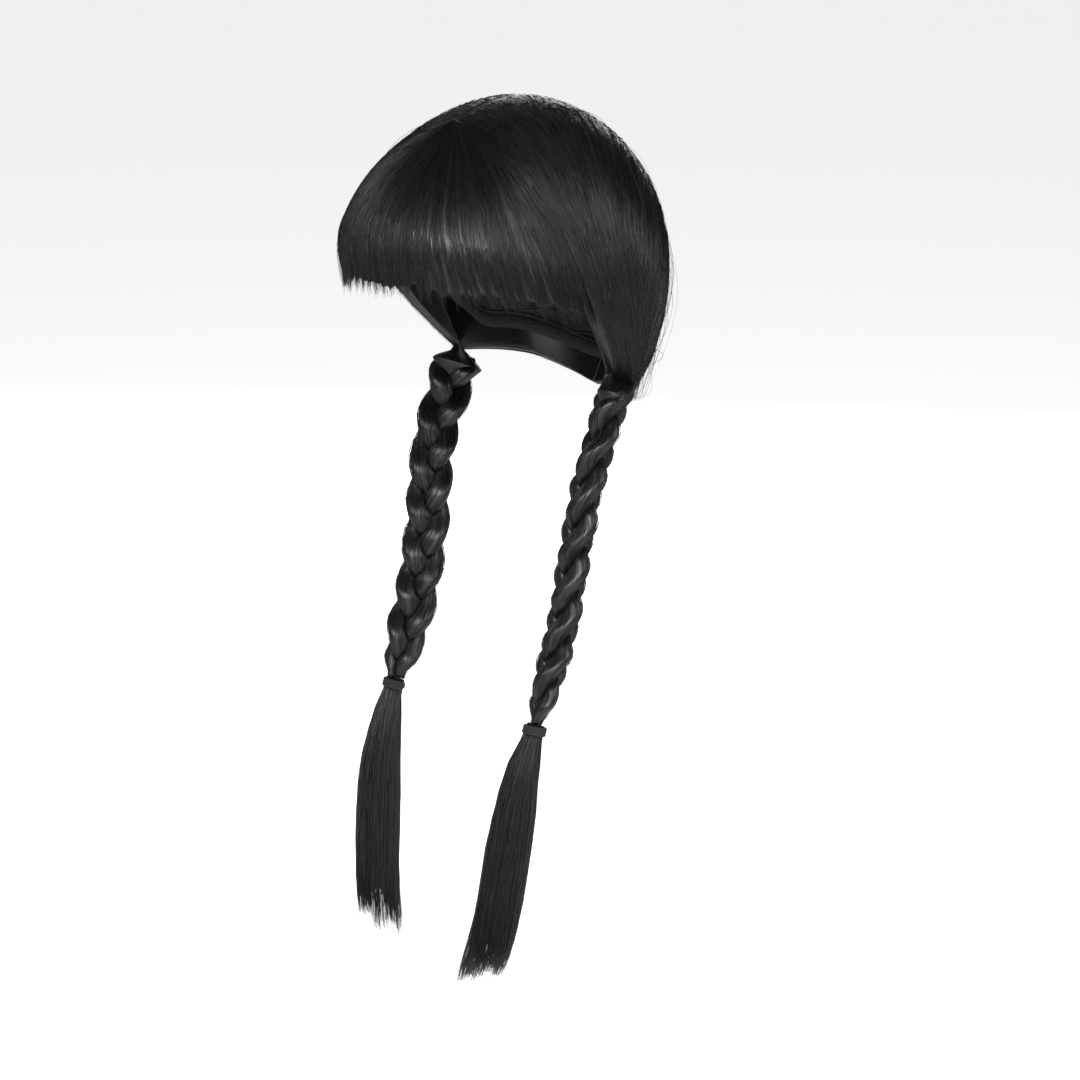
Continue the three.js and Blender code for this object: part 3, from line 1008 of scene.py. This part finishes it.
@dataclass
class Tail:
    """Loose end below the tie: a core that keeps it dense, and fibres that are cut off raggedly."""

    pigtail: Pigtail
    side: Side
    fibres: int = 1600
    fibre_radius: float = 0.19
    core: float = 0.78
    slant: float = 0.065  # how much shorter the hair is cut towards the outside
    around: int = 40
    rows: int = 50

    def build(self, finish: dict[Coat, bpy.types.Material], rng: np.random.Generator) -> None:
        """Builds and dresses the core and its fibres.

        Args:
            finish: Hair finishes by coat.
            rng: Source of the unevenness.
        """
        route = self.pigtail.tail()
        label = self.side.label
        dress(self._core(route, rng), finish[Coat.MASS], "black_hair", "tail_" + label)
        dress(self._fibres(route, rng), finish[Coat.FIBRE], "black_hair")

    @property
    def longest(self) -> float:
        """Run of the longest hair's tip: the two tails were cut unevenly."""
        return 1.13 if self.side is Side.LEFT else 1.06

    def _radius(self, run: Array) -> Array:
        """Tail's radius: the table's share of its full radius."""
        return self.pigtail.tail_radius * table_at(TAIL_SWELL, "run", run, "size")

    def _core(self, route: Route, rng: np.random.Generator) -> bpy.types.Object:
        """Furrowed core that stops short of the tips."""
        run = np.linspace(0.002, 0.88, self.rows)[:, None]
        turn = np.linspace(0, 1, self.around, endpoint=False)[None, :]
        run, turn = np.broadcast_arrays(run, turn)
        furrow = 1 + 0.07 * waves(rng, turn, 9) + 0.05 * waves(rng, turn, 17)
        radius = self._radius(run) * self.core * furrow * mix(1.0, 0.4, smoothstep(run, 0.7, 0.88))
        radius = np.maximum(radius, np.minimum(self._radius(run) * 0.5, self.pigtail.neck * 0.95))
        bearing = 2 * np.pi * turn
        rings = route.place(run, radius * np.cos(bearing), radius * np.sin(bearing))
        uvs = np.stack([turn * 80.0 / UV_UNIT, run * route.length / UV_UNIT], -1)
        ends = np.stack([rings[0].mean(0), rings[-1].mean(0)])
        rings, uvs = facing(mirrored(rings, self.side), self.side), facing(uvs, self.side)
        return ring_piece("tail_core_" + self.side.label, rings, uvs, mirrored(ends, self.side))

    def _fibres(self, route: Route, rng: np.random.Generator) -> bpy.types.Object:
        """Fibres that fan out from the tie and end at a ragged, slanting cut."""
        steps, count = 10, self.fibres
        share = np.sqrt(rng.uniform(0.3, 1.0, (count, 1)))
        bearing = rng.uniform(0, 2 * np.pi, (count, 1))
        _, wide, flat = route.frame(np.ones((count, 1)))
        outward = (wide * np.cos(bearing)[..., None] + flat * np.sin(bearing)[..., None])[..., 0]
        ragged = 0.05 * np.abs(rng.standard_normal((count, 1))) + 0.03 * np.sin(5 * bearing) * share
        end = self.longest - self.slant * (1 + outward * share) - ragged
        run = mix(0.002, end, np.linspace(0, 1, steps)[None, :] ** 1.25)
        radius = share * self._radius(run) + 0.5 * waves(rng, run * 0.8 + rng.random((count, 1)), 7)
        turn = bearing + 0.14 * rng.standard_normal((count, 1)) * run
        paths = route.place(run, radius * np.cos(turn), radius * np.sin(turn))
        return fibre_piece("tail_fibres_" + self.side.label, mirrored(paths, self.side),
                           tapered(rng, count, steps, self.fibre_radius, 0.3), rng.random(count))


@dataclass
class HairTie:
    """Covered elastic cord, wound round the neck of the tail."""

    pigtail: Pigtail
    side: Side
    around: int = 72
    sides: int = 14
    clearance: float = 0.3

    def build(self, finish: bpy.types.Material) -> None:
        """Builds and dresses the cord.

        Args:
            finish: The cord's finish.
        """
        dress(self._cord(), finish, "elastic", "hair_tie_" + self.side.label)

    def _cord(self) -> bpy.types.Object:
        """Cord wound round the tail's axis: a coil of all its wraps, whose ends tuck in under them."""
        size = self.pigtail
        route = size.tail()
        turns = np.linspace(0, 1, self.around * size.wraps)[:, None]
        bearing = 2 * np.pi * size.wraps * turns
        height = size.cord * (0.5 + (size.wraps - 1) * turns) * 1.02 + self.clearance
        tuck = 0.45 * size.cord * (smoothstep(turns, 0.06, 0.0) + smoothstep(turns, 0.94, 1.0))
        round_ = 2 * np.pi * np.linspace(0, 1, self.sides, endpoint=False)[None, :]
        yarn = 1 + 0.05 * np.sin(6 * round_ + 60 * bearing / size.wraps / 3)
        radius = size.neck + size.cord * 0.5 - tuck + 0.5 * size.cord * yarn * np.cos(round_)
        middle, wide, flat = route.frame(np.zeros((1, 1)))
        way = np.cross(wide, flat)
        rise = (height + 0.5 * size.cord * yarn * np.sin(round_))[..., None]
        radius, bearing = np.broadcast_arrays(radius, bearing)
        rings = middle + way * rise + wide * (radius * np.cos(bearing))[..., None] \
            + flat * (radius * np.sin(bearing))[..., None]
        uvs = np.stack(np.broadcast_arrays(round_ / (2 * np.pi), turns * size.wraps), -1)
        ends = np.stack([rings[0].mean(0), rings[-1].mean(0)])
        rings, uvs = facing(mirrored(rings, self.side), self.side), facing(uvs, self.side)
        return ring_piece("elastic_cord_" + self.side.label, rings, uvs, mirrored(ends, self.side))


@dataclass
class WigCap:
    """Stretch cap under the hair: net shell, sewn rows of hair weft and an edge band."""

    head: Head
    wall: float = 1.4
    weft_pitch: float = 11.0
    weft_radius: float = 0.7
    band_width: float = 7.0
    band_wall: float = 1.3
    columns: int = 180
    rows: int = 40

    def build(self, net: bpy.types.Material, finish: dict[Coat, bpy.types.Material]) -> None:
        """Builds and dresses the cap's pieces.

        Args:
            net: The net's finish.
            finish: Hair finishes by coat.
        """
        dress(self._shell(), net, "cap_net", "wig_cap")
        dress(self._wefts(), finish[Coat.FIBRE], "cap_net")
        dress(self._band(), net, "cap_net")

    def _rim(self, azimuth: Array) -> Array:
        """Angle of the rim from the crown at each azimuth, from its drop in the table."""
        away = np.abs((azimuth + 180) % 360 - 180)
        fall = self.head.crown * (1 - table_at(CAP_RIM, "azimuth", away, "drop"))
        return np.degrees(np.arccos(np.clip(fall / np.where(fall < 0, self.head.nape, self.head.crown), -1, 1)))

    def _shell(self) -> bpy.types.Object:
        """Net shell: out over the crown to the rim and back inside it."""
        azimuth = np.linspace(0, 360, self.columns, endpoint=False)[None, :]
        share = np.linspace(0.004, 1, self.rows)[:, None]
        direction = heading(azimuth, share * self._rim(azimuth))
        inner, outer = self.head.over(direction, 0.05), self.head.over(direction, self.wall)
        rings = np.concatenate([outer, inner[::-1]])[:, ::-1]
        flat = np.stack(np.broadcast_arrays(azimuth / 360 * 5, share * 1.5), -1)
        uvs = np.concatenate([flat, flat[::-1]])[:, ::-1]
        ends = np.array([[0, 0, self.wall], [0, 0, 0.05]])
        return ring_piece("cap_shell", rings, uvs, ends)

    def _wefts(self) -> bpy.types.Object:
        """Rows of hair weft sewn inside, level round the back and sides of the cap."""
        azimuth = np.linspace(42, 318, 140)[None, :]
        levels = np.arange(34.0, 150.0, np.degrees(self.weft_pitch / self.head.crown))[:, None]
        angle = np.minimum(levels, self._rim(azimuth) - 5)
        return fibre_piece("cap_wefts", self.head.over(heading(azimuth, angle), -0.25 + 0.0 * angle),
                           np.full(angle.shape, self.weft_radius), np.linspace(0, 1, len(levels)))

    def _band(self) -> bpy.types.Object:
        """Elastic band sewn inside the rim."""
        azimuth = np.linspace(0, 360, self.columns, endpoint=False)[None, :]
        rim = self._rim(azimuth)
        width = np.degrees(self.band_width / self.head.crown)
        across = np.array([0.0, 0.15, 0.5, 0.85, 1.0, 1.0, 0.85, 0.5, 0.15, 0.0])[:, None]
        lift = np.array([0.0, -0.7, -1.0, -0.7, 0.0, 1.0, 1.0, 1.0, 1.0, 1.0])[:, None]
        lift = np.where(lift < 0, lift * self.band_wall, lift * self.wall * 0.5)
        loop = self.head.over(heading(azimuth, rim - width * (1 - across)), lift + 0.0 * azimuth)
        rings = loop.transpose(1, 0, 2)
        rings = np.concatenate([rings, rings[:1]])
        row = np.linspace(0, 5, len(rings))[:, None]
        uvs = np.stack(np.broadcast_arrays(row, np.linspace(0, 0.2, rings.shape[1])[None, :]), -1)
        return ring_piece("cap_edge_band", rings, uvs, np.stack([rings[0].mean(0), rings[-1].mean(0)]))


@dataclass
class StrayHairs:
    """Single hairs that stand away from the combed surfaces."""

    combing: Combing
    head_hairs: int = 260
    braid_hairs: int = 90
    radius: float = 0.1

    def build(self, finish: dict[Coat, bpy.types.Material], rng: np.random.Generator) -> None:
        """Builds and dresses the hairs of the head and of each braid.

        Args:
            finish: Hair finishes by coat.
            rng: Source of their places.
        """
        for side in Side:
            dress(self._head(side, rng), finish[Coat.FIBRE], "black_hair")
            dress(self._braid(side, rng), finish[Coat.FIBRE], "black_hair")

    def _head(self, side: Side, rng: np.random.Generator) -> bpy.types.Object:
        """Hairs that leave the combed side in low arcs."""
        steps, count = 12, self.head_hairs
        t = np.linspace(0, 1, steps)[None, :]
        start = rng.uniform(0.02, 0.75, (count, 1))
        run = mix(start, np.minimum(start + rng.uniform(0.15, 0.5, (count, 1)), 1.0), t)
        share = np.clip(rng.uniform(0.0, 1.0, (count, 1)) + 0.05 * rng.standard_normal((count, 1)) * t, 0, 1)
        bow = rng.exponential(1.9, (count, 1)) * np.sin(np.pi * t * rng.uniform(0.5, 1.0, (count, 1)))
        paths = self.combing.side(share, run, np.array(1.0), 0.4 + bow)
        return fibre_piece("stray_hairs_" + side.label, mirrored(paths, side),
                           tapered(rng, count, steps, self.radius), rng.random(count))

    def _braid(self, side: Side, rng: np.random.Generator) -> bpy.types.Object:
        """Short ends that stick out of the braid, downwards."""
        steps, count = 8, self.braid_hairs
        route = self.combing.pigtail.braid()
        t = np.linspace(0, 1, steps)[None, :]
        start = rng.uniform(0.0, 0.95, (count, 1))
        run = start + rng.uniform(0.05, 0.14, (count, 1)) * t
        bearing = rng.uniform(0, 2 * np.pi, (count, 1)) + 0.5 * rng.standard_normal((count, 1)) * t
        out = 1.0 + rng.exponential(0.13, (count, 1)) * t
        size = table_at(BRAID_SWELL, "run", np.minimum(run, 1.0), "size")
        wide = self.combing.pigtail.braid_width * 0.42 * size * out
        deep = self.combing.pigtail.braid_thickness * 0.45 * size * out
        paths = route.place(run, wide * np.cos(bearing), deep * np.sin(bearing))
        return fibre_piece("braid_stray_hairs_" + side.label, mirrored(paths, side),
                           tapered(rng, count, steps, self.radius), rng.random(count))


@dataclass
class Studio:
    """Pale floor, soft lights and the camera, which stand where the photograph's did."""

    yaw: float = 45.0
    elevation: float = 15.5
    distance: float = 1500.0
    scale: float = 1.63  # pixels for a millimetre at the aim
    frame: float = 1080.0
    aim: tuple[float, float, float] = (0.0, 0.0, -250.0)
    aim_pixel: tuple[float, float] = (503.5, 532.0)
    floor_level: float = -560.0
    floor_lift: float = 0.75  # keeps the far floor as pale as the near one, which the lights reach
    backdrop: str = "fdfdfd"

    def _back(self, yaw: float, elevation: float) -> Array:
        """Direction from the aim towards a stand at a yaw and an elevation, in degrees."""
        return heading(yaw, 90 - elevation)

    def build(self) -> None:
        """Builds the floor, the world, the lights and the camera."""
        bpy.context.scene.view_settings.view_transform = "Standard"
        self._camera()
        self._floor()
        self._world(0.13)
        self._softbox("key", 30.0, 27.0, 1500.0, 700.0, 27.0)
        self._softbox("low", 40.0, -6.0, 1500.0, 700.0, 7.0)
        self._softbox("side", 115.0, 20.0, 1600.0, 800.0, 12.0)
        self._softbox("back", 215.0, 10.0, 1700.0, 900.0, 10.0)

    def _camera(self) -> None:
        """Camera turned so that the aim falls on its pixel, with no shift."""
        back = self._back(self.yaw, self.elevation)
        right = heading(self.yaw + 90, 90.0)
        up = np.cross(back, right)
        aim = np.array(self.aim)
        off = (self.frame / 2 - np.array(self.aim_pixel)) / self.scale
        target = aim + right * off[0] - up * off[1]
        data = bpy.data.cameras.new("camera")
        data.sensor_width = 36.0
        data.lens = self.scale * self.distance / self.frame * data.sensor_width
        data.clip_start, data.clip_end = 0.05, 50.0
        camera = bpy.data.objects.new("camera", data)
        place = aim + back * self.distance
        camera.location = Vector(place * MM)
        camera.rotation_euler = Vector(target - place).to_track_quat("-Z", "Y").to_euler()
        bpy.context.scene.collection.objects.link(camera)
        bpy.context.scene.camera = camera

    def _floor(self) -> None:
        """Large pale floor below the tails."""
        reach = 20000.0
        corners = np.array([[-1, -1, 0], [1, -1, 0], [1, 1, 0], [-1, 1, 0]]) * reach + [0, 0, self.floor_level]
        floor = new_piece("floor", corners, [np.array([[0, 1, 2, 3]])], corners[:, :2])
        material, tree = blank_material("painted_studio_floor")
        grain = node(tree, "ShaderNodeTexNoise", {"Scale": 6.0, "Detail": 2.0}, {})
        rough = node(tree, "ShaderNodeMapRange", {"To Min": 0.75, "To Max": 0.9}, {"Value": grain.outputs[0]})
        shader = node(tree, "ShaderNodeBsdfPrincipled", {"Base Color": srgb(self.backdrop)},
                      {"Roughness": rough.outputs[0]})
        path = node(tree, "ShaderNodeLightPath", {}, {})
        lift = node(tree, "ShaderNodeMath", {"operation": "MULTIPLY"}, {})
        lift.inputs[1].default_value = self.floor_lift
        tree.links.new(path.outputs["Is Camera Ray"], lift.inputs[0])
        glow = node(tree, "ShaderNodeEmission", {"Color": srgb(self.backdrop)}, {"Strength": lift.outputs[0]})
        both = node(tree, "ShaderNodeAddShader", {}, {})
        tree.links.new(shader.outputs[0], both.inputs[0])
        tree.links.new(glow.outputs[0], both.inputs[1])
        node(tree, "ShaderNodeOutputMaterial", {}, {"Surface": both.outputs[0]})
        floor.data.materials.append(material)

    def _world(self, strength: float) -> None:
        """Even pale surroundings: white where the camera sees them, dimmer as a light.

        Args:
            strength: Their strength as a light.
        """
        world = bpy.data.worlds.new("studio")
        world.use_nodes = True
        tree = world.node_tree
        tree.nodes.clear()
        seen = node(tree, "ShaderNodeBackground", {"Color": srgb(self.backdrop), "Strength": 1.0}, {})
        lit = node(tree, "ShaderNodeBackground", {"Color": srgb(self.backdrop), "Strength": strength}, {})
        path = node(tree, "ShaderNodeLightPath", {}, {})
        both = node(tree, "ShaderNodeMixShader", {}, {"Fac": path.outputs["Is Camera Ray"]})
        tree.links.new(lit.outputs[0], both.inputs[1])
        tree.links.new(seen.outputs[0], both.inputs[2])
        node(tree, "ShaderNodeOutputWorld", {}, {"Surface": both.outputs[0]})
        bpy.context.scene.world = world

    def _softbox(self, name: str, yaw: float, elevation: float, distance: float, size: float, power: float) -> None:
        """Square soft light aimed at the middle of the head.

        Args:
            name: Name of the light.
            yaw: Where it stands, in degrees from the face.
            elevation: Its height, in degrees.
            distance: Its distance in millimetres.
            size: Length of its side in millimetres.
            power: Power in watts.
        """
        data = bpy.data.lights.new(name, "AREA")
        data.size = size * MM
        data.energy = power
        light = bpy.data.objects.new(name, data)
        centre = np.array([0.0, 0.0, -110.0])
        place = centre + self._back(yaw, elevation) * distance
        light.location = Vector(place * MM)
        light.rotation_euler = Vector(centre - place).to_track_quat("-Z", "Y").to_euler()
        bpy.context.scene.collection.objects.link(light)


def main() -> None:
    """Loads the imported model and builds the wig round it."""
    logging.basicConfig(level=logging.INFO, format="%(message)s")
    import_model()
    Studio().build()
    rng = np.random.default_rng(SEED)
    hair = BlackFibre()
    finish = {coat: hair.material(coat) for coat in Coat}
    combing = Combing()
    WigCap(combing.head).build(StretchNet().material(), finish)
    Fringe(combing).build(finish, rng)
    elastic = CoveredElastic().material()
    for side in Side:
        CombedSide(combing, side).build(finish, rng)
        Braid(combing.pigtail, side).build(finish, rng)
        HairTie(combing.pigtail, side).build(elastic)
        Tail(combing.pigtail, side).build(finish, rng)
    StrayHairs(combing).build(finish, rng)


if __name__ == "__main__":
    main()
